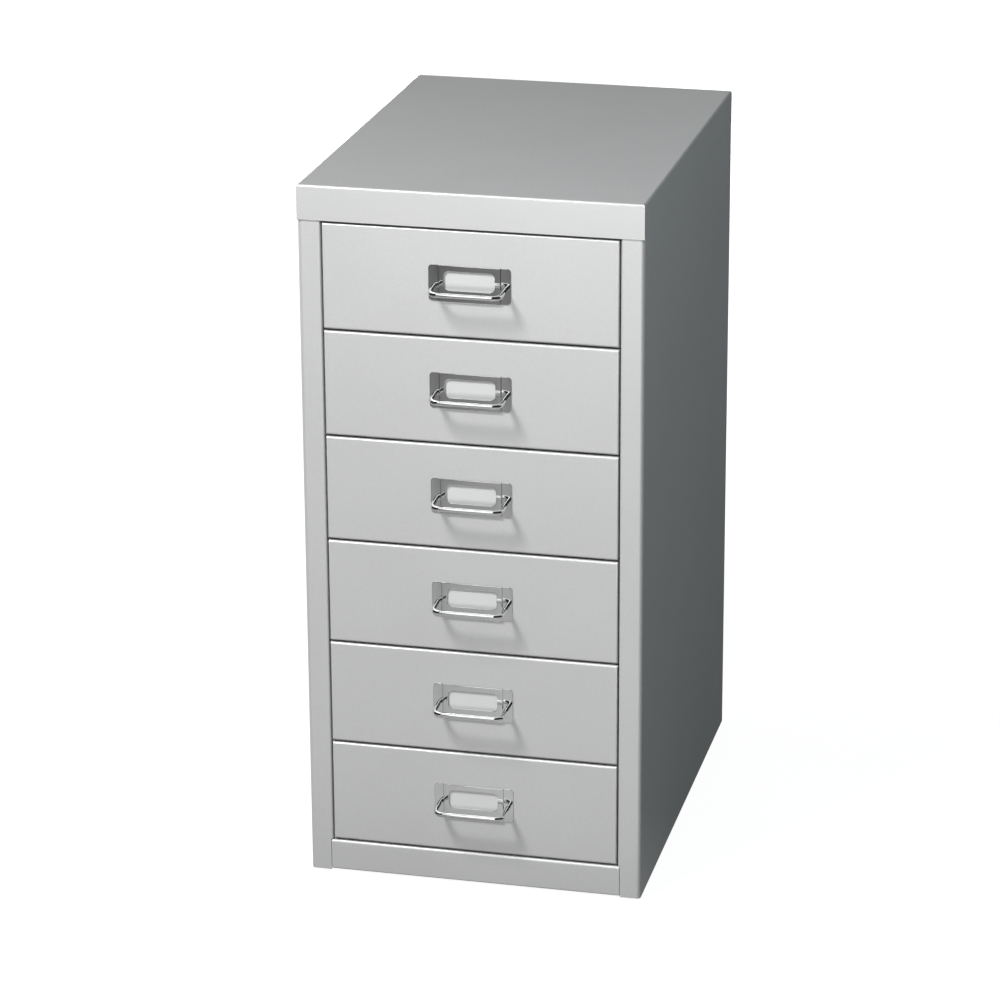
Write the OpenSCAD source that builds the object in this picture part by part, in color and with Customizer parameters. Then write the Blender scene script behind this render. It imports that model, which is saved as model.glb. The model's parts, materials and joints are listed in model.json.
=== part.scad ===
// Small drawer cabinet in folded sheet steel: a welded case with a stack of
// shallow drawers on channel runners, each with a chrome card holder and wire pull.
//
// Millimetres. +X is to the right, +Y to the back, +Z up. The origin is on the
// floor, in the middle of the overall footprint (case, pulls and back rivets).
//
// Inside each drawer module the origin is the middle of that drawer's front
// face; at_drawer() puts it in the case.

/* [Case] */
// Width of the case
cabinet_w = 279; // [260:1:340]
// Depth of the case, stiles to back
cabinet_d = 380; // [320:1:450]
// Height from the floor to the top
cabinet_h = 590; // [520:1:700]
// Thickness of the case sheet
case_sheet = 1; // [0.8:0.1:1.2]
// Height of the lid's skirt, which is the band over the drawers
band_h = 28.5; // [24:0.5:40]
// Distance from the side to the drawer opening
stile_w = 18.8; // [18.8:0.2:24]
// Outside bend radius of the front vertical corners
corner_r = 3.5; // [2:0.5:4]
// Outside bend radius along the lid's edges
lid_r = 2.2; // [1.6:0.2:3]
// Height of the plinth rail's face
plinth_h = 26.3; // [20:0.1:40]
// Air under the case, kept by the feet
foot_gap = 1.5; // [1:0.5:6]

/* [Drawers] */
// Number of drawers
drawer_count = 6; // [4:1:8]
// Gap above and below each drawer front
front_gap = 1.8; // [1.5:0.1:2.5]
// Gap beside each drawer front
side_gap = 1.3; // [1:0.1:1.8]
// Depth of the folded front
front_depth = 12; // [10:0.5:12]
// Outside bend radius along the front's edges
front_r = 1.8; // [1.4:0.2:2.4]
// Thickness of the tray sheet
tray_sheet = 0.8; // [0.6:0.1:1]
// Space left behind the tray
tray_clearance = 20; // [15:1:60]

/* [Card holder] */
// Width of the chrome plate
holder_w = 66.5; // [64:0.5:80]
// Height of the chrome plate
holder_h = 29.5; // [28:0.5:36]
// Thickness of the plate
holder_sheet = 0.8; // [0.6:0.1:1]
// Depth of the pocket behind the raised middle
pocket_depth = 1.2; // [0.8:0.1:1.6]
// Width of the raised middle
pocket_w = 50.4; // [48:0.2:51]
// Width of the window
window_w = 41; // [30:0.5:43]
// Height of the window
window_h = 15.5; // [12:0.5:17]

/* [Pull] */
// Diameter of the wire
wire_d = 3.8; // [3:0.1:4]
// Distance between the middles of the two legs
pull_w = 57; // [56:0.5:60]
// Length of a leg, from the plate to the middle of the bar
leg_len = 18.6; // [12:0.2:24]
// Radius of the corner bends, to the middle of the wire
pull_r = 6.5; // [5:0.5:9]
// Droop of the pull below level, in degrees
pull_tilt = 4.5; // [0:0.5:12]

/* [Hidden] */
$fn = 48;
ARC_STEPS = 8;
EPS = 0.5;

// Levels of the case
shell_z = foot_gap;
plinth_z = shell_z + 0.8;
plinth_top = plinth_z + plinth_h;
band_z = cabinet_h - band_h;
base_z = plinth_z + case_sheet;
base_flange = 15;

// Faces of the case
band_proud = case_sheet;
rivet_head = 1.2;
shoulder_y = holder_sheet + 0.3;
pull_reach = shoulder_y + leg_len * cos(pull_tilt) + wire_d / 2;
front_y = -(cabinet_d + rivet_head - pull_reach) / 2;
back_y = front_y + cabinet_d;
side_x = cabinet_w / 2;
side_in = side_x - case_sheet;
open_x = side_x - stile_w;

// Folds of the side panels
stile_return = 14;
stile_r = 1.5;
back_return = 16;
back_r = 2;
notch_gap = 0.3;
plinth_x = open_x + 1.3;
lap_down = 6;
lap_up = 16;

// Stack of drawers
pitch = (band_z - plinth_top - front_gap) / drawer_count;
front_w = 2 * (open_x - side_gap);
front_h = pitch - front_gap;

// Tray, measured from the middle of the front face
tray_x = open_x - 11.2;
flange_x = open_x - 2.2;
tray_r = 1.6;
tray_bottom = -front_h / 2 + 3.5;
tray_top = front_h / 2 - 14.6;
tray_back = cabinet_d - tray_clearance;
inner_front = front_depth + tray_sheet;

// Runners, measured from the middle of the front face
runner_x = open_x + 0.3;
runner_in = open_x - 9.2;
runner_front = 16;
runner_back = tray_back + 2;
glide_drop = 1.4;
glide_rise = 2;
glide_play = 0.2;
leg_top = tray_top - tray_sheet - glide_drop - glide_play;
roof = tray_top + glide_rise + glide_play;
pad_len = 25;
stop_y = runner_front + pad_len + 1;
stop_drop = 1.6;
glide_len = 22;
glide_back = tray_back - 2;

// Inner panels that carry the runners
inner_bottom = base_z + base_flange + 1;
inner_top = band_z - 8;

// Card holder, measured from the middle of the front face
holder_z = 0.6;
holder_r = 3;
window_z = holder_z + 2.4;
window_r = 4;
card_t = 0.4;
card_play = 0.8;

// Fixings of the pull
pull_z = holder_z - 2.9;
tenon_d = wire_d - 0.8;
tenon_end = case_sheet + 3;
tenon_hole_d = tenon_d + 0.2;
nut_d = 9;
nut_t = 1.2;

// Feet and rivets
foot_d = 18;
foot_in = 30;
rivet_d = 3.2;
rivet_hole_d = rivet_d + 0.1;
rivet_head_d = 6.4;
rivet_in = 8;
rivet_rows = 4;
rivet_low = 60;
rivet_pitch = (band_z - 80) / (rivet_rows - 1);

CASE_NODES = [
    "left_side_panel", "right_side_panel", "top_panel", "back_panel", "base_panel",
    "plinth_rail", "left_inner_panel", "right_inner_panel", "runner_pads", "feet", "back_rivets"
];
DRAWER_PARTS = ["front", "tray", "card_holder", "label_card", "pull", "push_nuts", "glides"];

PAINT = [0.74, 0.75, 0.74];
CHROME = [0.86, 0.87, 0.88];
ZINC = [0.62, 0.63, 0.64];
NYLON = [0.9, 0.89, 0.84];
CARD = [0.93, 0.93, 0.91];
RUBBER = [0.12, 0.12, 0.13];
ALUMINIUM = [0.78, 0.79, 0.8];

// ---- Outlines ----

// Points of an arc from angle a0 to a1
function arc(c, r, a0, a1) =
    [for (i = [0 : ARC_STEPS]) let (a = a0 + (a1 - a0) * i / ARC_STEPS) c + r * [cos(a), sin(a)]];

// A rectangle's corner: the bare point, or an arc where it has a radius
function corner(p, inward, r, a0) = r == 0 ? [p] : arc(p + r * inward, r, a0, a0 + 90);

// Rectangle with a radius at each corner: low left, low right, high right, high left
function soft_rect(low, high, r) = concat(
    corner(low, [1, 1], r[0], 180),
    corner([high[0], low[1]], [-1, 1], r[1], 270),
    corner(high, [-1, -1], r[2], 0),
    corner([low[0], high[1]], [1, -1], r[3], 90)
);

function unit(v) = v / norm(v);
function left_of(u) = [-u[1], u[0]];

// One bend of a folded sheet at point p, from direction u to v, on the face that
// lies d to the left of the path; r is always the outside radius
function bend(p, u, v, r, d, t) =
    let (
        side = sign(cross(u, v)),
        face_r = side > 0 ? r - d : r - t + d,
        tip = p + d * (left_of(u) + left_of(v)) / (1 + left_of(u) * left_of(v)),
        half = acos(u * v) / 2,
        first = tip - u * face_r * tan(half),
        centre = first + side * left_of(u) * face_r,
        a0 = atan2((first - centre)[1], (first - centre)[0])
    )
    arc(centre, face_r, a0, a0 + side * 2 * half);

// One face of a folded sheet along an open path
function sheet_face(path, radii, d, t) =
    let (n = len(path), dirs = [for (i = [1 : n - 1]) unit(path[i] - path[i - 1])])
    concat(
        [path[0] + d * left_of(dirs[0])],
        [for (i = [1 : n - 2]) each bend(path[i], dirs[i - 1], dirs[i], radii[i - 1], d, t)],
        [path[n - 1] + d * left_of(dirs[n - 2])]
    );

function reversed(list) = [for (i = [len(list) - 1 : -1 : 0]) list[i]];

// Section of a folded sheet; the sheet lies to the left of the path
module folded(path, radii, t) {
    polygon(concat(sheet_face(path, radii, 0, t), reversed(sheet_face(path, radii, t, t))));
}

// ---- Ways to place and extrude ----

// A plan section, from z0 up to z1
module up_z(z0, z1) {
    translate([0, 0, z0]) linear_extrude(z1 - z0) children();
}

// A section drawn in y and z, from x0 to x1
module along_x(x0, x1) {
    translate([x0, 0, 0]) rotate([90, 0, 90]) linear_extrude(x1 - x0) children();
}

// A section drawn in x and z, from y0 to y1
module along_y(y0, y1) {
    translate([0, y1, 0]) rotate([90, 0, 0]) linear_extrude(y1 - y0) children();
}

module block(low, high) {
    translate(low) cube(high - low);
}

// A cylinder along Y, from y0 to y1
module rod_y(d, y0, y1) {
    translate([0, y1, 0]) rotate([90, 0, 0]) cylinder(d = d, h = y1 - y0);
}

module mirrored() {
    mirror([1, 0, 0]) children();
}

module both_sides() {
    children();
    mirrored() children();
}

function drawer_z(i) = plinth_top + front_gap + front_h / 2 + (drawer_count - i) * pitch;

module at_drawer(i) {
    translate([0, front_y, drawer_z(i)]) children();
}

module at_rivets() {
    for (k = [0 : rivet_rows - 1])
        translate([side_x - rivet_in, back_y, rivet_low + k * rivet_pitch]) children();
}

// ---- Case ----

// Right side: the stile, the outer face and the back return are one folded sheet
module side_panel() {
    path = [
        [open_x, front_y + stile_return], [open_x, front_y], [side_x, front_y],
        [side_x, back_y], [side_x - back_return, back_y]
    ];
    lap_high = band_z + lap_up;
    color(PAINT)
    difference() {
        union() {
            up_z(shell_z, band_z) folded(path, [stile_r, corner_r, back_r], case_sheet);
            block([side_in - case_sheet, front_y + corner_r + 1, band_z - lap_down],
                  [side_in, back_y - back_return, lap_high]);
            block([open_x + 2, front_y, band_z - EPS],
                  [side_x - corner_r, front_y + case_sheet, lap_high]);
        }
        block([open_x - 1, front_y - 1, shell_z - 1],
              [plinth_x + notch_gap, front_y + stile_return + 1, plinth_top + notch_gap]);
        at_rivets() rod_y(rivet_hole_d, -2 * case_sheet, case_sheet);
    }
}

module left_side_panel() {
    mirrored() side_panel();
}

module right_side_panel() {
    side_panel();
}

// The solid that the lid would be if it weren't hollow; inset shrinks it to the inside
module lid_block(inset, bottom) {
    r = lid_r - inset;
    low_y = front_y - band_proud + inset;
    high = cabinet_h - inset;
    intersection() {
        along_x(-side_x + inset, side_x - inset)
            polygon(soft_rect([low_y, bottom], [back_y - inset, high], [0, 0, r, r]));
        along_y(low_y, back_y - inset)
            polygon(soft_rect([-side_x + inset, bottom], [side_x - inset, high], [0, 0, r, r]));
    }
}

// Lid with a skirt on all sides; the front skirt is the band, with a hem behind it
module top_panel() {
    hem = 12;
    color(PAINT) {
        difference() {
            lid_block(0, band_z);
            lid_block(case_sheet, band_z - 1);
        }
        block([-open_x + 0.4, front_y - EPS, band_z], [open_x - 0.4, front_y + hem, band_z + case_sheet]);
    }
}

// Flat back, inside the back returns
module back_panel() {
    color(PAINT)
    difference() {
        block([-side_in + 1.2, back_y - 2 * case_sheet, base_z],
              [side_in - 1.2, back_y - case_sheet, band_z + lap_up]);
        both_sides() at_rivets() rod_y(rivet_hole_d, -3 * case_sheet, case_sheet);
    }
}

// Base pan, open at the front where it sits on the plinth rail's lower fold; its front
// corners reach into the stiles and are cut back to clear their bends
module base_panel() {
    rear = back_y - 2 * case_sheet;
    front = front_y + case_sheet + 0.6;
    color(PAINT)
    difference() {
        block([-side_in, front, base_z], [side_in, rear, base_z + base_flange]);
        block([-side_in + case_sheet, front - 1, base_z + case_sheet],
              [side_in - case_sheet, rear - case_sheet, base_z + base_flange + 1]);
        both_sides()
            block([side_x - corner_r, front - 1, base_z - 1], [side_x, front_y + corner_r + 0.3, cabinet_h]);
    }
}

// Rail under the lowest drawer, between the notched stiles
module plinth_rail() {
    rail_return = 14;
    path = [
        [front_y + rail_return, plinth_top], [front_y, plinth_top],
        [front_y, plinth_z], [front_y + rail_return, plinth_z]
    ];
    color(PAINT) along_x(-plinth_x, plinth_x) folded(path, [2, stile_r], case_sheet);
}

// Right inner panel, folded out to the side panel at the front and back
module inner_panel() {
    near = front_y + runner_front;
    far = front_y + runner_back;
    path = [[side_in, far], [runner_x, far], [runner_x, near], [side_in, near]];
    color(PAINT) up_z(inner_bottom, inner_top) folded(path, [2, 2], case_sheet);
}

module left_inner_panel() {
    mirrored() inner_panel();
}

module right_inner_panel() {
    inner_panel();
}

// ---- Runners ----

// Right channel: the tray's flange and its rear glide slide between the two legs
module runner_channel() {
    path = [
        [runner_in, leg_top - case_sheet], [runner_x, leg_top - case_sheet],
        [runner_x, roof + case_sheet], [runner_in, roof + case_sheet]
    ];
    color(ZINC) {
        along_y(runner_front, runner_back) folded(path, [1.4, 1.4], case_sheet);
        block([runner_in + 1.5, stop_y, roof - stop_drop], [runner_x - 2, stop_y + case_sheet, roof + EPS]);
        block([runner_in + 1.5, glide_back + 0.4, leg_top - EPS],
              [runner_x - 2, glide_back + 0.4 + case_sheet, leg_top + 1]);
    }
}

module runner_pair() {
    both_sides() runner_channel();
}

// Nylon pad on the mouth of each channel, hooked over its edge
module runner_pads() {
    lip = 1.2;
    color(NYLON)
    for (i = [1 : drawer_count]) at_drawer(i) both_sides() {
        block([runner_in + 0.6, runner_front - lip, leg_top],
              [runner_x - 1.6, runner_front + pad_len, leg_top + glide_drop]);
        block([runner_in + 0.6, runner_front - lip, leg_top - case_sheet],
              [runner_x - 1.6, runner_front, leg_top + EPS]);
    }
}

// ---- Feet and fixings ----

module feet() {
    color(RUBBER)
    for (x = [-side_x + foot_in, side_x - foot_in], y = [front_y + foot_in, back_y - foot_in])
        translate([x, y, 0]) {
            cylinder(d1 = foot_d - 1.2, d2 = foot_d, h = 0.8);
            translate([0, 0, 0.8]) cylinder(d = foot_d, h = base_z - 0.8);
        }
}

// Blind rivet through the back return and the back panel
module back_rivet() {
    cap_r = (pow(rivet_head_d / 2, 2) + pow(rivet_head, 2)) / (2 * rivet_head);
    intersection() {
        translate([0, rivet_head - cap_r, 0]) sphere(r = cap_r);
        rod_y(rivet_head_d, 0, rivet_head + 1);
    }
    rod_y(rivet_d, -3 * case_sheet, EPS);
    rod_y(rivet_d + 1.4, -3 * case_sheet - 0.6, -2 * case_sheet);
}

module back_rivets() {
    color(ALUMINIUM) both_sides() at_rivets() back_rivet();
}

// ---- Drawer ----

// The solid that the front would be if it weren't hollow
module front_block(inset, depth) {
    x = front_w / 2 - inset;
    z = front_h / 2 - inset;
    r = front_r - inset;
    side_r = max(front_r - 0.6 - inset, 0);
    intersection() {
        along_x(-x, x) polygon(soft_rect([inset, -z], [depth, z], [r, 0, 0, r]));
        up_z(-z, z) polygon(soft_rect([-x, inset], [x, depth], [side_r, side_r, 0, 0]));
    }
}

// Drawer front, a pan folded back on all four sides
module drawer_front() {
    color(PAINT)
    difference() {
        front_block(0, front_depth);
        front_block(case_sheet, front_depth + 1);
        both_sides() translate([pull_w / 2, 0, pull_z]) rod_y(tenon_hole_d, -1, 2 * case_sheet);
    }
}

// Tray with runner flanges along its sides and an inner skin that closes the front
module drawer_tray() {
    path = [
        [-flange_x, tray_top - tray_sheet], [-tray_x, tray_top - tray_sheet], [-tray_x, tray_bottom],
        [tray_x, tray_bottom], [tray_x, tray_top - tray_sheet], [flange_x, tray_top - tray_sheet]
    ];
    skin_x = front_w / 2 - 0.6;
    skin_z = front_h / 2 - 0.6;
    color(PAINT) {
        along_y(inner_front - tray_sheet / 2, tray_back) folded(path, [tray_r, tray_r, tray_r, tray_r], tray_sheet);
        block([-skin_x, front_depth, -skin_z], [skin_x, inner_front, skin_z]);
        block([-tray_x + tray_sheet / 2, tray_back - tray_sheet, tray_bottom + tray_sheet / 2],
              [tray_x - tray_sheet / 2, tray_back, tray_top]);
    }
}

// Chrome plate: a raised middle, open at the top, makes the card's pocket
module card_holder() {
    raised = pocket_depth + holder_sheet;
    low = holder_z - holder_h / 2;
    high = holder_z + holder_h / 2;
    wall = holder_sheet;
    color(CHROME)
    difference() {
        union() {
            along_y(-holder_sheet, 0)
                polygon(soft_rect([-holder_w / 2, low], [holder_w / 2, high],
                                  [holder_r, holder_r, holder_r, holder_r]));
            block([-pocket_w / 2, -raised, low], [pocket_w / 2, 0, high]);
        }
        block([-pocket_w / 2 + wall, -pocket_depth, low + wall], [pocket_w / 2 - wall, 1, high + 1]);
        along_y(-raised - 1, 1)
            polygon(soft_rect([-window_w / 2, window_z - window_h / 2], [window_w / 2, window_z + window_h / 2],
                              [window_r, window_r, window_r, window_r]));
        both_sides() translate([pull_w / 2, 0, pull_z]) rod_y(tenon_hole_d, -raised, 1);
    }
}

// Plain label card in the pocket
module label_card() {
    x = pocket_w / 2 - holder_sheet - card_play;
    low = holder_z - holder_h / 2 + holder_sheet;
    back = -pocket_depth + 0.3 + card_t;
    color(CARD) block([-x, back - card_t, low], [x, back, low + holder_h - 3]);
}

// The plane of the wire, which droops from where its shoulders meet the plate
module at_pull() {
    translate([0, -shoulder_y, pull_z]) rotate([pull_tilt, 0, 0]) children();
}

// One end of the wire: a tenon through the plate and the front, the leg and the corner
module pull_leg() {
    x = pull_w / 2;
    translate([x, 0, pull_z]) rod_y(tenon_d, -shoulder_y - 1.5, tenon_end);
    at_pull() {
        translate([x, 0, 0]) rod_y(wire_d, pull_r - leg_len, 0);
        translate([x - pull_r, pull_r - leg_len, 0])
            rotate([0, 0, -90]) rotate_extrude(angle = 90) translate([pull_r, 0]) circle(d = wire_d);
    }
}

module pull() {
    bar = pull_w - 2 * pull_r;
    color(CHROME) {
        both_sides() pull_leg();
        at_pull() translate([-bar / 2, -leg_len, 0]) rotate([0, 90, 0]) cylinder(d = wire_d, h = bar);
    }
}

// Push-on nuts that hold the wire behind the front's sheet
module push_nuts() {
    color(ZINC)
    both_sides() translate([pull_w / 2, 0, pull_z]) difference() {
        rod_y(nut_d, case_sheet, case_sheet + nut_t);
        rod_y(tenon_d + 0.1, 0, case_sheet + nut_t + 1);
    }
}

// Nylon block clipped over the rear end of each tray flange
module glides() {
    color(NYLON)
    both_sides() difference() {
        block([runner_in + 1, glide_back - glide_len, tray_top - tray_sheet - glide_drop],
              [flange_x + 1, glide_back, tray_top + glide_rise]);
        block([tray_x, glide_back - glide_len - 1, tray_top - tray_sheet], [flange_x, glide_back + 1, tray_top]);
    }
}

// ---- Nodes ----

left_side_panel();
right_side_panel();
top_panel();
back_panel();
base_panel();
plinth_rail();
left_inner_panel();
right_inner_panel();
runner_pads();
feet();
back_rivets();
for (i = [1 : drawer_count]) {
    at_drawer(i) runner_pair();
    at_drawer(i) drawer_front();
    at_drawer(i) drawer_tray();
    at_drawer(i) card_holder();
    at_drawer(i) label_card();
    at_drawer(i) pull();
    at_drawer(i) push_nuts();
    at_drawer(i) glides();
}
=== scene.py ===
import json
import math

import bmesh
import bpy
from bpy.props import FloatProperty, FloatVectorProperty, PointerProperty
from mathutils import Matrix, Vector

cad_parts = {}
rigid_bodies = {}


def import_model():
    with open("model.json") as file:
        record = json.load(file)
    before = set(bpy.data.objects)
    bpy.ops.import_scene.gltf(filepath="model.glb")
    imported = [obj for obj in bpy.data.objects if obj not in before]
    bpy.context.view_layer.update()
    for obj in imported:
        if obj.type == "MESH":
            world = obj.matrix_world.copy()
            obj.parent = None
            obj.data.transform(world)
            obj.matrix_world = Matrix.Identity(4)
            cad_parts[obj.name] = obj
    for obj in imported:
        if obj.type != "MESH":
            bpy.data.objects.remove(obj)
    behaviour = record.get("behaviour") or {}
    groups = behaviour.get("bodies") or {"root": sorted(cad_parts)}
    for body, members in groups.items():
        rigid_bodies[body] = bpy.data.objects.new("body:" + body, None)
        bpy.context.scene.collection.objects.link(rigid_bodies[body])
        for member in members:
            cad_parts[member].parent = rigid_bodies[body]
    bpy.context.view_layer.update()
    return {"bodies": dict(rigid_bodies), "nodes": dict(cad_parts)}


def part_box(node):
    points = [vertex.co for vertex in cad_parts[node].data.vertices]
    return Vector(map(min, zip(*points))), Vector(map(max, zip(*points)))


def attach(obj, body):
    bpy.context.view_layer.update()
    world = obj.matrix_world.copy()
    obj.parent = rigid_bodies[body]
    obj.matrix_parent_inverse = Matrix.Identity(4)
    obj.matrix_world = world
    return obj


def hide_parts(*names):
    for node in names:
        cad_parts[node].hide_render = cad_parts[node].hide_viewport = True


bl_info = {
    "name": "Steel Drawer Cabinet",
    "version": (1, 0, 0),
    "blender": (4, 5, 0),
    "location": "View3D > Sidebar > Cabinet",
    "description": "Paints, plates and lights a small steel drawer cabinet round its packed frame",
    "category": "Object",
}

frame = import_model()
NODES = frame["nodes"]
DRAWERS = sorted(body for body in frame["bodies"] if body.startswith("drawer_"))
MM = 0.001

METAL_EDGE = 0.15 * MM  # radius of the edges of zinc-plated parts and rivets
MOULDED_EDGE = 0.3 * MM  # radius of the edges of nylon and rubber parts
HOLE_PLAY = 0.1 * MM  # round the pull's ends in the holder
TENON_END = 4 * MM  # the pull's ends, behind the drawer front's face
TENON_LEAD = 0.3 * MM  # taper at their tips
SHOULDER_ROUND = 0.2 * MM  # where the wire gets thinner at the plate
CARD_BOW = 0.12 * MM
CARD_SHARE = 0.7  # of the card's depth that is its thickness, and not its bow
THROUGH = (-1, 1)  # sweep of a cutter that goes right through

# ---- What a user may change ----


def tint(title, text, value):
    """A colour setting"""
    return FloatVectorProperty(name=title, description=text, subtype="COLOR", min=0, max=1, default=value)


def number(title, text, value):
    """A setting without a unit"""
    return FloatProperty(name=title, description=text, default=value)


def length(title, text, value):
    """A length setting, given in metres"""
    return FloatProperty(name=title, description=text, default=value, unit="LENGTH", precision=5)


def power(title, text, value):
    """A lamp's power in watts"""
    return FloatProperty(name=title, description=text, default=value, unit="POWER")


class PaintFinish(bpy.types.PropertyGroup):
    """Silver-grey stove enamel on the case, fronts and trays"""

    colour: tint("Colour", "Paint colour", (0.606, 0.606, 0.608))
    grain: length("Grain", "Size of the paint's fine grain", 0.9 * MM)
    contrast: number("Contrast", "How far the grain is lighter and darker than the paint", 0.05)
    gloss_low: number("Least roughness", "Roughness on the glossiest grain", 0.34)
    gloss_high: number("Most roughness", "Roughness on the dullest grain", 0.44)
    flake: number("Flake", "Share of metal flake in the paint", 0.25)
    edge: length("Edge", "Radius that the paint gives to cut edges", 0.22 * MM)


class PlatingFinish(bpy.types.PropertyGroup):
    """Mirror chrome on the card holders and pulls"""

    colour: tint("Colour", "Colour of the plating", (0.86, 0.865, 0.87))
    haze: number("Haze", "Most roughness on the polished metal", 0.06)
    wave: number("Wave", "Strength of the waves left by pressing", 0.04)


class SmallPartFinish(bpy.types.PropertyGroup):
    """Colours of the card, nylon, zinc, rubber and rivets"""

    card: tint("Card", "Label card", (0.68, 0.685, 0.68))
    nylon: tint("Nylon", "Pads and glides", (0.80, 0.785, 0.72))
    zinc: tint("Zinc", "Runners and push-on nuts", (0.56, 0.57, 0.58))
    rubber: tint("Rubber", "Feet", (0.035, 0.035, 0.038))
    rivet: tint("Rivets", "Rivets of the back", (0.74, 0.75, 0.76))


class HolderSizes(bpy.types.PropertyGroup):
    """Pressed chrome plate that holds the card"""

    sheet: length("Sheet", "Thickness of the plate", 0.8 * MM)
    corner: length("Corners", "Radius of the corners", 3 * MM)
    pocket_w: length("Raised width", "Width of the raised middle", 50.4 * MM)
    bend: length("Bend", "Outer radius of the pressed bends", 0.7 * MM)
    window_w: length("Window width", "Width of the window", 41 * MM)
    window_h: length("Window height", "Height of the window", 15.5 * MM)
    window_r: length("Window corners", "Radius of the window's corners", 4 * MM)
    window_up: length("Window rise", "Window's middle above the plate's", 2.4 * MM)
    edge: length("Edge", "Radius of the cut edges", 0.3 * MM)
    card_slack: length("Card slack", "How far the card leans back in its pocket", 0.5 * MM)


class PullSizes(bpy.types.PropertyGroup):
    """Wire pull through the card holder"""

    wire: length("Wire", "Diameter of the wire", 3.8 * MM)
    spread: length("Spread", "Distance between the legs' middles", 57 * MM)
    leg: length("Leg", "Length of a leg", 18.6 * MM)
    corner: length("Corner", "Bend radius to the wire's middle", 6.5 * MM)
    droop: FloatProperty(
        name="Droop", description="Slope below level", default=math.radians(4.5), subtype="ANGLE"
    )
    below: length("Below", "Legs below the plate's middle", 2.9 * MM)
    tenon: length("Tenon", "Diameter of the wire's ends", 3 * MM)


class StageSettings(bpy.types.PropertyGroup):
    """Floor, lights and camera"""

    glow: number("Glow", "Light that the white paper gives off round the case", 0.94)
    apron: length("Apron", "Where the paper reaches its full white", 1)
    paper: number("Paper", "How much of the lamps' light the white paper returns", 0.2)
    bounce: number("Bounce", "How much light the floor returns to the case", 0.12)
    near: number("Near floor", "Light of the floor that the chrome mirrors, in front", 0.6)
    half_way: number("Half way", "Light of that floor half way out", 0.22)
    far: number("Far floor", "Light of that floor out in the room", 0.06)
    reach: length("Reach", "Where the lit floor ends at the sides", 1.3)
    run: length("Run", "Where the lit floor ends in front", 3)
    key: power("Key", "High softbox at the left", 63.5)
    front: power("Front", "Low softbox in front", 21)
    right: power("Right", "High fill at the right", 2.8)
    side: power("Side", "Fill behind the right side", 4.6)
    left: power("Left", "Fill at the left side", 12)
    back: power("Back", "Fill behind the case", 30)
    panel: power("Panel", "Tall panel that the chrome mirrors", 8)
    cool: tint("Cool", "Colour of the two fills at the right", (0.86, 0.97, 1))
    room: number("Room", "Brightness of the room", 0.03)
    focal: FloatProperty(name="Focal length", description="On a 36 mm sensor", default=134.58, unit="CAMERA")


class CabinetSettings(bpy.types.PropertyGroup):
    """All settings of the cabinet"""

    paint: PointerProperty(type=PaintFinish)
    plating: PointerProperty(type=PlatingFinish)
    small: PointerProperty(type=SmallPartFinish)
    holder: PointerProperty(type=HolderSizes)
    pull: PointerProperty(type=PullSizes)
    stage: PointerProperty(type=StageSettings)


# ---- Finishes ----


class Finish:
    """A material and its node tree, with short calls that add and link nodes"""

    def __init__(self, name):
        self.material = bpy.data.materials.new(name)
        self.material.use_nodes = True
        self.tree = self.material.node_tree
        self.shader = self.tree.nodes["Principled BSDF"]
        self.place = self.add("TexCoord").outputs["Object"]

    def add(self, kind, inputs=None, **settings):
        """Adds a node; an input is a value or another node's socket"""
        node = self.tree.nodes.new("ShaderNode" + kind)
        for name, value in settings.items():
            setattr(node, name, value)
        for name, value in (inputs or {}).items():
            self.feed(node.inputs[name], value)
        return node

    def feed(self, socket, value):
        if isinstance(value, bpy.types.NodeSocket):
            self.tree.links.new(value, socket)
        else:
            socket.default_value = value

    def set(self, **inputs):
        """Sets the shader's own inputs; a name's underscores are spaces"""
        for name, value in inputs.items():
            self.feed(self.shader.inputs[name.replace("_", " ")], value)

    def noise(self, size, detail=2.0, stretch=(1, 1, 1)):
        """Noise whose patches are about size across, longer along an axis with a stretch"""
        scale = [1 / (size * s) for s in stretch]
        spot = self.add("Mapping", {"Vector": self.place, "Scale": scale}).outputs[0]
        return self.add("TexNoise", {"Vector": spot, "Scale": 1.0, "Detail": detail}).outputs["Fac"]

    def spread(self, value, low, high, start=0.3, end=0.7):
        """The value's range from start to end, spread from low to high"""
        inputs = {"Value": value, "From Min": start, "From Max": end, "To Min": low, "To Max": high}
        return self.add("MapRange", inputs).outputs["Result"]

    def tones(self, value, *colours, start=0.3, end=0.7):
        """A ramp through evenly spaced colours, by default over the middle of a noise"""
        ramp = self.add("ValToRGB", {"Fac": self.spread(value, 0, 1, start, end)})
        stops = ramp.color_ramp.elements
        while len(stops) < len(colours):
            stops.new(0.5)
        for i, colour in enumerate(colours):
            stops[i].position = i / (len(colours) - 1)
            stops[i].color = (*colour, 1)
        return ramp.outputs["Color"]

    def nearness(self, reach, run, centre):
        """1 at the centre, falling to 0 at reach to the sides and at run to the front and back"""
        scale = (1 / reach, 1 / run, 1)
        origin = (-centre[0] / reach, -centre[1] / run, 0)
        spot = self.add("Mapping", {"Vector": self.place, "Scale": scale, "Location": origin}).outputs[0]
        return self.add("TexGradient", {"Vector": spot}, gradient_type="SPHERICAL").outputs["Fac"]

    def multiply(self, a, b):
        node = self.add("Mix", data_type="RGBA", blend_type="MULTIPLY")
        node.inputs["Factor"].default_value = 1
        self.feed(node.inputs[6], a)
        self.feed(node.inputs[7], b)
        return node.outputs[2]

    def bump(self, height, strength, distance):
        """Presses a height into the surface"""
        inputs = {"Height": height, "Strength": strength, "Distance": distance}
        self.set(Normal=self.add("Bump", inputs).outputs["Normal"])


def shade(colour, factor):
    return tuple(min(1, c * factor) for c in colour)


def grey(value):
    return (value, value, value)


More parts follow.
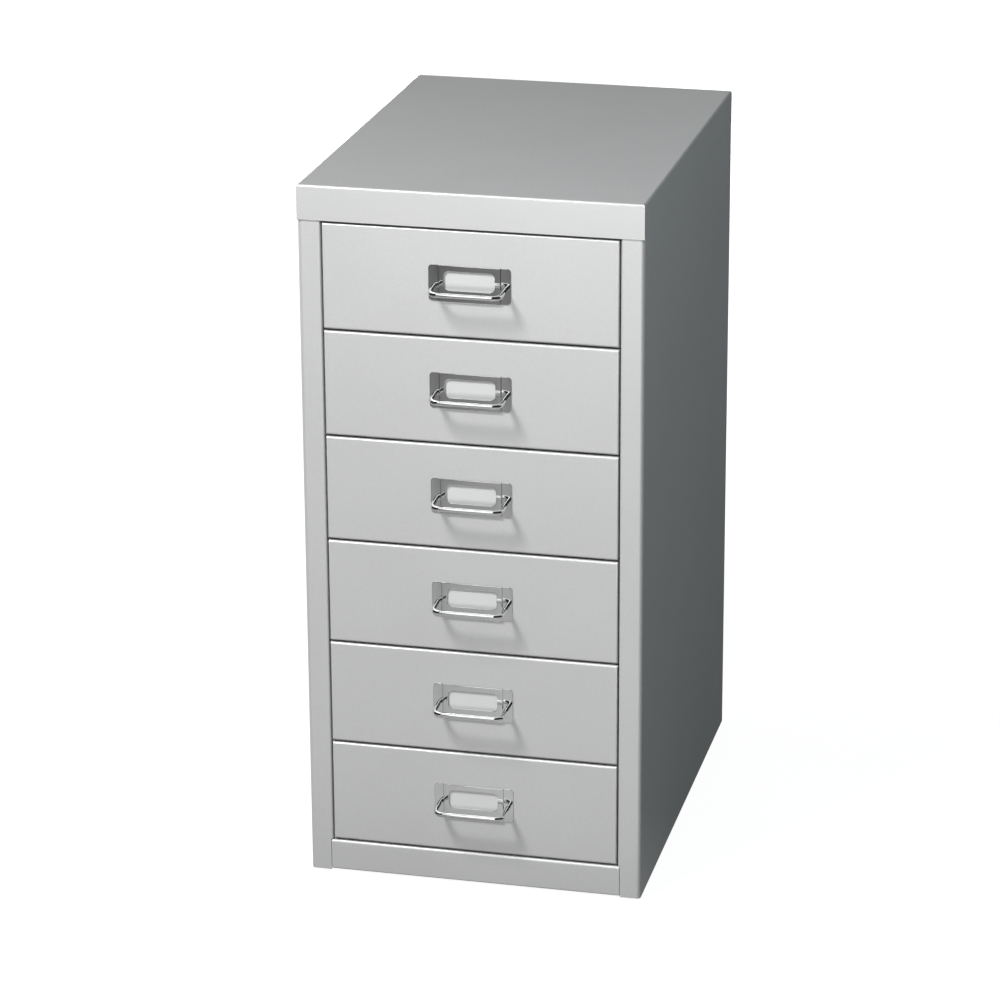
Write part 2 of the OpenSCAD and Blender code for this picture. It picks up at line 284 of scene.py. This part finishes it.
def silver_paint(looks):
    """Stove enamel with a fine grain, slightly uneven over a hand's width"""
    paint = Finish("cabinet_enamel")
    grain = paint.noise(looks.grain, detail=3)
    drift = paint.noise(90 * MM, detail=1)
    base = looks.colour
    tones = paint.tones(grain, shade(base, 1 - looks.contrast), base, shade(base, 1 + looks.contrast))
    paint.set(
        Base_Color=paint.multiply(tones, paint.tones(drift, grey(0.975), grey(1.0))),
        Roughness=paint.spread(grain, looks.gloss_high, looks.gloss_low),
        Metallic=looks.flake,
    )
    paint.bump(grain, 0.12, 0.05 * MM)
    return paint.material


def bright_chrome(looks):
    """Mirror plating with faint waves and wiped haze"""
    chrome = Finish("mirror_chrome")
    haze = chrome.noise(5 * MM, detail=3)
    chrome.set(
        Metallic=1.0,
        Base_Color=chrome.tones(haze, shade(looks.colour, 0.97), looks.colour),
        Roughness=chrome.spread(haze, 0.3 * looks.haze, looks.haze),
    )
    chrome.bump(chrome.noise(14 * MM, detail=0), looks.wave, 0.5 * MM)
    return chrome.material


def card_stock(colour):
    """Uncoated card with short fibres"""
    card = Finish("card_stock")
    fibres = card.noise(0.35 * MM, detail=4, stretch=(3, 1, 1))
    card.set(
        Base_Color=card.tones(fibres, shade(colour, 0.965), colour, shade(colour, 1.02)),
        Roughness=card.spread(fibres, 0.8, 0.95),
    )
    card.bump(fibres, 0.25, 0.03 * MM)
    return card.material


def natural_nylon(colour):
    """Moulded nylon, faintly clouded"""
    nylon = Finish("natural_nylon")
    cloud = nylon.noise(4 * MM, detail=3)
    nylon.set(
        Base_Color=nylon.tones(cloud, shade(colour, 0.94), colour),
        Roughness=nylon.spread(cloud, 0.42, 0.55),
        Subsurface_Weight=0.2,
        Subsurface_Scale=1.5 * MM,
    )
    nylon.bump(nylon.noise(0.6 * MM), 0.15, 0.03 * MM)
    return nylon.material


def zinc_plate(colour):
    """Rolled and zinc-plated steel, streaked along the runners"""
    zinc = Finish("zinc_plate")
    streaks = zinc.noise(0.5 * MM, detail=4, stretch=(1, 40, 1))
    bloom = zinc.noise(9 * MM, detail=3)
    tones = zinc.tones(streaks, shade(colour, 0.9), colour, shade(colour, 1.08))
    zinc.set(
        Metallic=1.0,
        Base_Color=zinc.multiply(tones, zinc.tones(bloom, grey(0.9), grey(1.0))),
        Roughness=zinc.spread(bloom, 0.3, 0.46),
    )
    zinc.bump(streaks, 0.1, 0.03 * MM)
    return zinc.material


def foot_rubber(colour):
    """Moulded rubber with a dusty bloom"""
    rubber = Finish("dusty_rubber")
    bloom = rubber.noise(3 * MM, detail=4)
    rubber.set(
        Base_Color=rubber.tones(bloom, shade(colour, 0.8), shade(colour, 1.5)),
        Roughness=rubber.spread(bloom, 0.62, 0.85),
    )
    rubber.bump(rubber.noise(0.4 * MM), 0.3, 0.04 * MM)
    return rubber.material


def rivet_aluminium(colour):
    """Bare aluminium with fine drawing marks"""
    aluminium = Finish("bare_aluminium")
    marks = aluminium.noise(0.25 * MM, detail=3)
    aluminium.set(
        Metallic=1.0,
        Base_Color=aluminium.tones(marks, shade(colour, 0.9), colour),
        Roughness=aluminium.spread(marks, 0.28, 0.42),
    )
    aluminium.bump(marks, 0.1, 0.02 * MM)
    return aluminium.material


FULL_WHITE = 1.02  # the paper's own light away from the case
GLOW_ROUND = 0.6  # nearness at which that light has sunk to the stage's glow


def white_paper(stage):
    """Matt studio paper with a light of its own, so that it stays white"""
    paper = Finish("white_paper")
    pulp = paper.noise(6 * MM, detail=3)
    near = paper.nearness(stage.apron, stage.apron, (0, 0))
    paper.set(
        Base_Color=paper.tones(pulp, grey(0.98 * stage.paper), grey(stage.paper)),
        Roughness=0.9,
        Specular_IOR_Level=0.0,
        Emission_Color=(1, 1, 1, 1),
        Emission_Strength=paper.spread(near, FULL_WHITE, stage.glow, start=0, end=GLOW_ROUND),
    )
    return paper.material


def dull_floor(tone):
    """Plain matt floor"""
    floor = Finish("dull_floor")
    mottle = floor.noise(0.2, detail=2)
    floor.set(
        Base_Color=floor.tones(mottle, grey(0.97 * tone), grey(tone)),
        Roughness=0.9,
        Specular_IOR_Level=0.0,
    )
    return floor.material


POOL_CENTRE = (0.15, -0.4)
POOL_FADES = (-0.35, 0)  # where it fades, from in front of the case to its middle


def mirrored_floor(stage):
    """A painted pool of light in front of the case: the floor glows, and its glow darkens outwards"""
    floor = Finish("mirrored_floor")
    near = floor.nearness(stage.reach, stage.run, POOL_CENTRE)
    depth = floor.add("SeparateXYZ", {"Vector": floor.place}).outputs["Y"]
    in_front = floor.spread(depth, 1, 0, *POOL_FADES)
    ahead = floor.add("Math", {0: near, 1: in_front}, operation="MULTIPLY").outputs[0]
    tones = (grey(value) for value in (stage.far, stage.half_way, stage.near))
    floor.set(
        Base_Color=(0, 0, 0, 1),
        Specular_IOR_Level=0.0,
        Emission_Color=floor.tones(ahead, *tones, start=0, end=1),
        Emission_Strength=1.0,
    )
    return floor.material


def pale_wall():
    """Evenly lit backdrop"""
    wall = Finish("pale_wall")
    cloud = wall.noise(2.0, detail=1)
    wall.set(
        Base_Color=(0, 0, 0, 1),
        Specular_IOR_Level=0.0,
        Emission_Color=wall.tones(cloud, grey(0.98), grey(1.0)),
        Emission_Strength=1.1,
    )
    return wall.material


def coat(obj, material):
    """Gives an object one finish"""
    for slot in obj.material_slots:
        slot.link = "OBJECT"
        slot.material = material
    if not obj.material_slots:
        obj.data.materials.append(material)


def soften(obj, radius):
    """Joins the node's coplanar facets and rounds its sharp edges, which catch the light"""
    weld = obj.modifiers.new("weld", "WELD")
    weld.merge_threshold = 0.001 * MM
    flats = obj.modifiers.new("flats", "DECIMATE")
    flats.decimate_type = "DISSOLVE"
    flats.angle_limit = math.radians(0.2)
    edges = obj.modifiers.new("edges", "BEVEL")
    edges.width = radius
    edges.segments = 2
    edges.limit_method = "ANGLE"
    edges.angle_limit = math.radians(35)
    edges.use_clamp_overlap = False
    normals = obj.modifiers.new("normals", "WEIGHTED_NORMAL")
    normals.keep_sharp = False
    normals.weight = 100


# ---- Shapes ----


def soft_outline(corners, radii, steps=6):
    """A polygon's points, with an arc at each corner that has a radius"""
    points = []
    count = len(corners)
    for i, radius in enumerate(radii):
        corner = Vector(corners[i])
        back = (Vector(corners[i - 1]) - corner).normalized()
        ahead = (Vector(corners[(i + 1) % count]) - corner).normalized()
        if radius == 0:
            points.append(corner)
            continue
        half = back.angle(ahead) / 2
        centre = corner + (back + ahead).normalized() * radius / math.sin(half)
        first, last = (corner + side * radius / math.tan(half) - centre for side in (back, ahead))
        turn = math.copysign(math.pi - 2 * half, first.cross(last))
        for k in range(steps + 1):
            points.append(centre + Matrix.Rotation(turn * k / steps, 2) @ first)
    return points


def rectangle(low, high):
    return [(low[0], low[1]), (high[0], low[1]), (high[0], high[1]), (low[0], high[1])]


def circle(centre, radius, steps=32):
    turns = [2 * math.pi * k / steps for k in range(steps)]
    return [Vector(centre) + radius * Vector((math.cos(t), math.sin(t))) for t in turns]


def solid(outline, low, high, place):
    """A closed solid: the outline swept from low to high, where place turns (u, v, w) into a point"""
    mesh = bpy.data.meshes.new("solid")
    shape = bmesh.new()
    near = [shape.verts.new(place(u, v, low)) for u, v in outline]
    far = [shape.verts.new(place(u, v, high)) for u, v in outline]
    shape.faces.new(near)
    shape.faces.new(reversed(far))
    for i in range(len(outline)):
        j = (i + 1) % len(outline)
        shape.faces.new((near[i], far[i], far[j], near[j]))
    bmesh.ops.recalc_face_normals(shape, faces=shape.faces)
    shape.to_mesh(mesh)
    shape.free()
    obj = bpy.data.objects.new("solid", mesh)
    bpy.context.scene.collection.objects.link(obj)
    return obj


def through_front(u, v, w):
    """An outline in x and z, swept along y"""
    return (u, w, v)


def upright(u, v, w):
    """An outline in x and y, swept along z"""
    return (u, v, w)


def freeze(obj):
    """Applies the modifiers"""
    graph = bpy.context.evaluated_depsgraph_get()
    made = bpy.data.meshes.new_from_object(obj.evaluated_get(graph))
    old = obj.data
    obj.modifiers.clear()
    obj.data = made
    bpy.data.meshes.remove(old)


def carve(obj, tool, operation="DIFFERENCE"):
    """Cuts obj by the tool, or keeps what they share, and removes the tool"""
    cut = obj.modifiers.new("cut", "BOOLEAN")
    cut.operation = operation
    cut.solver = "EXACT"
    cut.object = tool
    freeze(obj)
    spent = tool.data
    bpy.data.objects.remove(tool)
    bpy.data.meshes.remove(spent)


def tube(name, stations, sides=32):
    """A round tube along stations of (point, radius), closed at both ends"""
    points = [Vector(p) for p, _ in stations]
    shape = bmesh.new()
    rings = []
    side = Vector((0, 0, 1))
    for i, (_, radius) in enumerate(stations):
        ahead = (points[min(i + 1, len(points) - 1)] - points[max(i - 1, 0)]).normalized()
        side = (side - ahead * side.dot(ahead)).normalized()
        other = ahead.cross(side)
        turns = [2 * math.pi * k / sides for k in range(sides)]
        rings.append([
            shape.verts.new(points[i] + radius * (math.cos(t) * side + math.sin(t) * other)) for t in turns
        ])
    for a, b in zip(rings, rings[1:]):
        for k in range(sides):
            j = (k + 1) % sides
            shape.faces.new((a[k], a[j], b[j], b[k]))
    shape.faces.new(reversed(rings[0]))
    shape.faces.new(rings[-1])
    bmesh.ops.recalc_face_normals(shape, faces=shape.faces)
    mesh = bpy.data.meshes.new(name)
    shape.to_mesh(mesh)
    shape.free()
    return mesh


def settled(mesh, place, name, body, node, material):
    """Puts a mesh in place of a CAD node, riding on the node's body"""
    piece = bpy.data.objects.new(name, mesh)
    piece.data.transform(Matrix.Translation(place))
    bpy.context.scene.collection.objects.link(piece)
    coat(piece, material)
    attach(piece, body)
    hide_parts(node)
    return piece


def holder_mesh(sizes, width, height, depth):
    """Pressed plate: two ears and a raised middle, open at the top, with a window"""
    low, high = -height / 2, height / 2
    ear, face = -sizes.sheet, -depth
    half = sizes.pocket_w / 2
    front = soft_outline(
        [(-width / 2, 0), (-width / 2, ear), (-half, ear), (-half, face), (half, face), (half, ear),
         (width / 2, ear), (width / 2, 0)],
        [0, 0, sizes.bend / 2, sizes.bend, sizes.bend, sizes.bend / 2, 0, 0],
    )
    plate = solid(front, low, high, upright)
    corners = soft_outline(rectangle((-width / 2, low), (width / 2, high)), [sizes.corner] * 4, 8)
    carve(plate, solid(corners, *THROUGH, through_front), "INTERSECT")
    inner = half - sizes.sheet
    pocket = rectangle((-inner, low + sizes.sheet), (inner, high + sizes.sheet))
    carve(plate, solid(pocket, face + sizes.sheet, 1, through_front))
    x, z = sizes.window_w / 2, sizes.window_h / 2
    window = rectangle((-x, sizes.window_up - z), (x, sizes.window_up + z))
    carve(plate, solid(soft_outline(window, [sizes.window_r] * 4, 10), *THROUGH, through_front))
    return plate


def pull_stations(sizes, start):
    """The wire's middle line and radius, from the right leg's tenon to the left's"""
    radius, thin = sizes.wire / 2, sizes.tenon / 2
    x = sizes.spread / 2
    along = Vector((0, -math.cos(sizes.droop), -math.sin(sizes.droop)))
    inward = Vector((-1, 0, 0))
    root = Vector((x, start - 0.3 * MM, 0))
    right = [
        (Vector((x, TENON_END, 0)), thin - 0.25 * MM),
        (Vector((x, TENON_END - TENON_LEAD, 0)), thin),
        (Vector((x, start, 0)), thin),
        (Vector((x, start - 0.01 * MM, 0)), radius - 0.15 * MM),
        (Vector((x, start - SHOULDER_ROUND, 0)), radius),
    ]
    straight = sizes.leg - sizes.corner
    for k in range(1, 5):
        right.append((root + along * straight * k / 4, radius))
    centre = root + along * straight + inward * sizes.corner
    steps = 14
    for k in range(1, steps + 1):
        turn = math.pi / 2 * k / steps
        right.append((centre + sizes.corner * (-inward * math.cos(turn) + along * math.sin(turn)), radius))
    right.append((Vector((x / 3, right[-1][0].y, right[-1][0].z)), radius))
    left = [(Vector((-p.x, p.y, p.z)), r) for p, r in reversed(right)]
    return right + left


def card_mesh(width, height, thick):
    """A card with a slight bow across its width"""
    columns, rows = 24, 12
    mesh = bpy.data.meshes.new("card")
    shape = bmesh.new()
    bmesh.ops.create_grid(shape, x_segments=columns, y_segments=rows, size=0.5)
    for vert in shape.verts:
        u, v = vert.co.x, vert.co.y
        vert.co = Vector((u * width, CARD_BOW * (math.cos(math.pi * u) - 1), v * height))
    bmesh.ops.recalc_face_normals(shape, faces=shape.faces)
    shape.to_mesh(mesh)
    shape.free()
    obj = bpy.data.objects.new("card", mesh)
    bpy.context.scene.collection.objects.link(obj)
    skin = obj.modifiers.new("thick", "SOLIDIFY")
    skin.thickness = thick
    skin.offset = 0
    freeze(obj)
    made = obj.data
    bpy.data.objects.remove(obj)
    return made


def smooth(mesh):
    mesh.polygons.foreach_set("use_smooth", [True] * len(mesh.polygons))


# ---- Operators ----


def settings():
    return bpy.context.scene.cabinet


def finish_named(name, make, *values):
    """The finish, made once"""
    return bpy.data.materials.get(name) or make(*values)


def paint():
    return finish_named("cabinet_enamel", silver_paint, settings().paint)


def chrome():
    return finish_named("mirror_chrome", bright_chrome, settings().plating)


class PaintCase(bpy.types.Operator):
    """Paints the sides, top, back, base, plinth and inner panels"""

    bl_idname = "cabinet.paint_case"
    bl_label = "Paint Case"
    names = (
        "left_side_panel", "right_side_panel", "top_panel", "back_panel", "base_panel", "plinth_rail",
        "left_inner_panel", "right_inner_panel",
    )

    def execute(self, context):
        for name in self.names:
            coat(NODES[name], paint())
            soften(NODES[name], settings().paint.edge)
        return {"FINISHED"}


class PaintDrawers(bpy.types.Operator):
    """Paints the drawers' fronts and trays"""

    bl_idname = "cabinet.paint_drawers"
    bl_label = "Paint Drawers"

    def execute(self, context):
        for drawer in DRAWERS:
            for part in ("front", "tray"):
                node = NODES[f"{drawer}_{part}"]
                coat(node, paint())
                soften(node, settings().paint.edge)
        return {"FINISHED"}


class PlateRunners(bpy.types.Operator):
    """Zinc-plates the runners and the pulls' push-on nuts"""

    bl_idname = "cabinet.plate_runners"
    bl_label = "Plate Runners"

    def execute(self, context):
        zinc = zinc_plate(settings().small.zinc)
        for name in NODES:
            if name.startswith("runner_pair_") or name.endswith("_push_nuts"):
                coat(NODES[name], zinc)
                soften(NODES[name], METAL_EDGE)
        return {"FINISHED"}


class MouldGlides(bpy.types.Operator):
    """Gives the runners' pads and the drawers' glides their nylon"""

    bl_idname = "cabinet.mould_glides"
    bl_label = "Mould Glides"

    def execute(self, context):
        nylon = natural_nylon(settings().small.nylon)
        for name in NODES:
            if name == "runner_pads" or name.endswith("_glides"):
                coat(NODES[name], nylon)
                soften(NODES[name], MOULDED_EDGE)
        return {"FINISHED"}


class FitFeet(bpy.types.Operator):
    """Gives the feet their rubber"""

    bl_idname = "cabinet.fit_feet"
    bl_label = "Fit Feet"

    def execute(self, context):
        coat(NODES["feet"], foot_rubber(settings().small.rubber))
        soften(NODES["feet"], MOULDED_EDGE)
        return {"FINISHED"}


class SetRivets(bpy.types.Operator):
    """Gives the back's rivets their bare aluminium"""

    bl_idname = "cabinet.set_rivets"
    bl_label = "Set Rivets"

    def execute(self, context):
        coat(NODES["back_rivets"], rivet_aluminium(settings().small.rivet))
        soften(NODES["back_rivets"], METAL_EDGE)
        return {"FINISHED"}


class PressHolders(bpy.types.Operator):
    """Presses a chrome card holder for each drawer"""

    bl_idname = "cabinet.press_holders"
    bl_label = "Press Card Holders"

    def execute(self, context):
        sizes, pull = settings().holder, settings().pull
        low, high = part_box(f"{DRAWERS[0]}_card_holder")
        plate = holder_mesh(sizes, high.x - low.x, high.z - low.z, high.y - low.y)
        for x in (-pull.spread / 2, pull.spread / 2):
            hole = circle((x, -pull.below), pull.tenon / 2 + HOLE_PLAY)
            carve(plate, solid(hole, *THROUGH, through_front))
        edges = plate.modifiers.new("edges", "BEVEL")
        edges.width = sizes.edge
        edges.segments = 3
        edges.limit_method = "ANGLE"
        edges.angle_limit = math.radians(40)
        edges.harden_normals = True
        edges.use_clamp_overlap = False
        smooth(plate.data)
        freeze(plate)
        for drawer in DRAWERS:
            node, name = f"{drawer}_card_holder", f"{drawer}_pressed_holder"
            low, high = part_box(node)
            place = ((low.x + high.x) / 2, high.y, (low.z + high.z) / 2)
            settled(plate.data.copy(), place, name, drawer, node, chrome())
        bpy.data.objects.remove(plate)
        return {"FINISHED"}


class BendPulls(bpy.types.Operator):
    """Bends a chrome wire pull for each drawer"""

    bl_idname = "cabinet.bend_pulls"
    bl_label = "Bend Pulls"

    def execute(self, context):
        sizes = settings().pull
        stations = pull_stations(sizes, -settings().holder.sheet)
        for drawer in DRAWERS:
            mesh = tube(f"{drawer}_wire_pull", stations)
            smooth(mesh)
            low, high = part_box(f"{drawer}_card_holder")
            place = ((low.x + high.x) / 2, high.y, (low.z + high.z) / 2 - sizes.below)
            settled(mesh, place, f"{drawer}_wire_pull", drawer, f"{drawer}_pull", chrome())
        return {"FINISHED"}


class CutCards(bpy.types.Operator):
    """Cuts a plain label card for each holder"""

    bl_idname = "cabinet.cut_cards"
    bl_label = "Cut Cards"

    def execute(self, context):
        card = card_stock(settings().small.card)
        for drawer in DRAWERS:
            node = f"{drawer}_label_card"
            low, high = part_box(node)
            mesh = card_mesh(high.x - low.x, high.z - low.z, (high.y - low.y) * CARD_SHARE)
            smooth(mesh)
            place = (low + high) / 2 + Vector((0, settings().holder.card_slack, 0))
            settled(mesh, place, f"{drawer}_bowed_card", drawer, node, card)
        return {"FINISHED"}


class SetStage(bpy.types.Operator):
    """Lays the floor, hangs the lights and sets up the camera"""

    bl_idname = "cabinet.set_stage"
    bl_label = "Set Stage"

    def execute(self, context):
        stage = settings().stage
        lay_floor(stage)
        hang_lights(stage)
        place_camera(stage)
        return {"FINISHED"}


# ---- Stage ----

CAMERA_PLACE = Vector((0.6785, -2.9006, 1.3499))
CAMERA_PITCH, CAMERA_TURN = math.radians(18.93), math.radians(12.56)
CAMERA_SHIFT = (-0.06, -0.06)
ROOM_REACH = 12


def seen_by(obj, ray):
    """Makes a stage piece visible to one kind of ray: camera, diffuse or glossy"""
    for kind in ("camera", "diffuse", "glossy", "transmission", "volume_scatter", "shadow"):
        setattr(obj, f"visible_{kind}", kind == ray)


def lay_floor(stage):
    """White paper and a pale wall for the camera, over the floors that the paint and the chrome see"""
    layers = (
        ("paper", white_paper(stage), "camera", 0),
        ("mirrored_floor", mirrored_floor(stage), "glossy", -2 * MM),
        ("floor", dull_floor(stage.bounce), "diffuse", -4 * MM),
    )
    outline = rectangle((-ROOM_REACH, -ROOM_REACH), (ROOM_REACH, ROOM_REACH))
    for name, material, ray, top in layers:
        layer = solid(outline, top - MM, top, upright)
        layer.name = name
        coat(layer, material)
        seen_by(layer, ray)
    mesh = bpy.data.meshes.new("wall")
    shape = bmesh.new()
    bmesh.ops.create_uvsphere(shape, u_segments=64, v_segments=32, radius=ROOM_REACH)
    shape.to_mesh(mesh)
    shape.free()
    wall = bpy.data.objects.new("wall", mesh)
    bpy.context.scene.collection.objects.link(wall)
    coat(wall, pale_wall())
    seen_by(wall, "camera")


def softbox(name, place, aim, size, power, lit, colour=(1, 1, 1)):
    """An area light at place that faces aim and lights the collection"""
    light = bpy.data.lights.new(name, "AREA")
    light.shape = "RECTANGLE"
    light.size, light.size_y = size
    light.energy = power
    light.color = colour
    obj = bpy.data.objects.new(name, light)
    obj.location = place
    obj.rotation_mode = "QUATERNION"
    obj.rotation_quaternion = (Vector(aim) - Vector(place)).to_track_quat("-Z", "Y")
    obj.visible_camera = False
    obj.light_linking.receiver_collection = lit
    bpy.context.scene.collection.objects.link(obj)


def hang_lights(stage):
    """Softboxes round the case in a dim room, and one tall panel that only the chrome mirrors"""
    plain, plated = bpy.data.collections.new("plain"), bpy.data.collections.new("plated")
    for obj in bpy.context.scene.objects:
        if obj.type == "MESH":
            shiny = any(slot.material == chrome() for slot in obj.material_slots)
            (plated if shiny else plain).objects.link(obj)
    middle = (0, -0.1, 0.35)
    softbox("key", (-0.9, -1.4, 2.25), middle, (0.6, 0.6), stage.key, plain)
    softbox("front", (0, -2.6, 0.4), middle, (1.6, 0.5), stage.front, plain)
    softbox("right", (0.9, -0.6, 1.1), middle, (0.6, 0.6), stage.right, plain, stage.cool)
    softbox("side", (1.6, 1.2, 0.8), middle, (0.6, 0.6), stage.side, plain, stage.cool)
    softbox("left", (-2.2, 0.4, 0.6), middle, (1.2, 0.8), stage.left, plain)
    softbox("back", (-0.5, 2.6, 0.3), (0, 0.2, 0.3), (1.4, 0.5), stage.back, plain)
    softbox("panel", (-0.45, -1.9, 1.8), (-0.45, -0.1, 0.2), (0.5, 3.8), stage.panel, plated)
    world = bpy.data.worlds.new("room")
    world.use_nodes = True
    world.node_tree.nodes["Background"].inputs["Color"].default_value = (*grey(stage.room), 1)
    bpy.context.scene.world = world


def place_camera(stage):
    """A long lens in front, to the right and above"""
    camera = bpy.data.cameras.new("camera")
    camera.sensor_width = 36
    camera.lens = stage.focal
    camera.shift_x, camera.shift_y = CAMERA_SHIFT
    camera.clip_start, camera.clip_end = 0.1, 60
    obj = bpy.data.objects.new("camera", camera)
    look = Matrix.Rotation(CAMERA_TURN, 4, "Z") @ Matrix.Rotation(math.pi / 2 - CAMERA_PITCH, 4, "X")
    obj.matrix_world = Matrix.Translation(CAMERA_PLACE) @ look
    scene = bpy.context.scene
    scene.collection.objects.link(obj)
    scene.camera = obj
    scene.view_settings.view_transform = "Standard"


# ---- Panel and run ----


class CabinetPanel(bpy.types.Panel):
    """Lists the cabinet's operators and settings"""

    bl_idname = "VIEW3D_PT_cabinet"
    bl_label = "Drawer Cabinet"
    bl_space_type = "VIEW_3D"
    bl_region_type = "UI"
    bl_category = "Cabinet"

    def draw(self, context):
        for operator in OPERATORS:
            self.layout.operator(operator.bl_idname)
        groups = settings()
        for name in ("paint", "plating", "small", "holder", "pull", "stage"):
            group = getattr(groups, name)
            box = self.layout.box()
            box.label(text=name.capitalize())
            for prop in group.bl_rna.properties:
                if prop.identifier not in ("rna_type", "name"):
                    box.prop(group, prop.identifier)


GROUPS = (
    PaintFinish, PlatingFinish, SmallPartFinish, HolderSizes, PullSizes, StageSettings, CabinetSettings,
)
OPERATORS = (
    PaintCase, PaintDrawers, PlateRunners, MouldGlides, FitFeet, SetRivets, PressHolders, BendPulls,
    CutCards, SetStage,
)


def register():
    for cls in (*GROUPS, *OPERATORS, CabinetPanel):
        bpy.utils.register_class(cls)
    bpy.types.Scene.cabinet = PointerProperty(type=CabinetSettings)


def unregister():
    del bpy.types.Scene.cabinet
    for cls in reversed((*GROUPS, *OPERATORS, CabinetPanel)):
        bpy.utils.unregister_class(cls)


def main():
    register()
    for name in ("Cube", "Light", "Camera"):
        if name in bpy.data.objects:
            bpy.data.objects.remove(bpy.data.objects[name])
    bpy.ops.cabinet.paint_case()
    bpy.ops.cabinet.paint_drawers()
    bpy.ops.cabinet.plate_runners()
    bpy.ops.cabinet.mould_glides()
    bpy.ops.cabinet.fit_feet()
    bpy.ops.cabinet.set_rivets()
    bpy.ops.cabinet.press_holders()
    bpy.ops.cabinet.bend_pulls()
    bpy.ops.cabinet.cut_cards()
    bpy.ops.cabinet.set_stage()


if __name__ == "__main__":
    main()
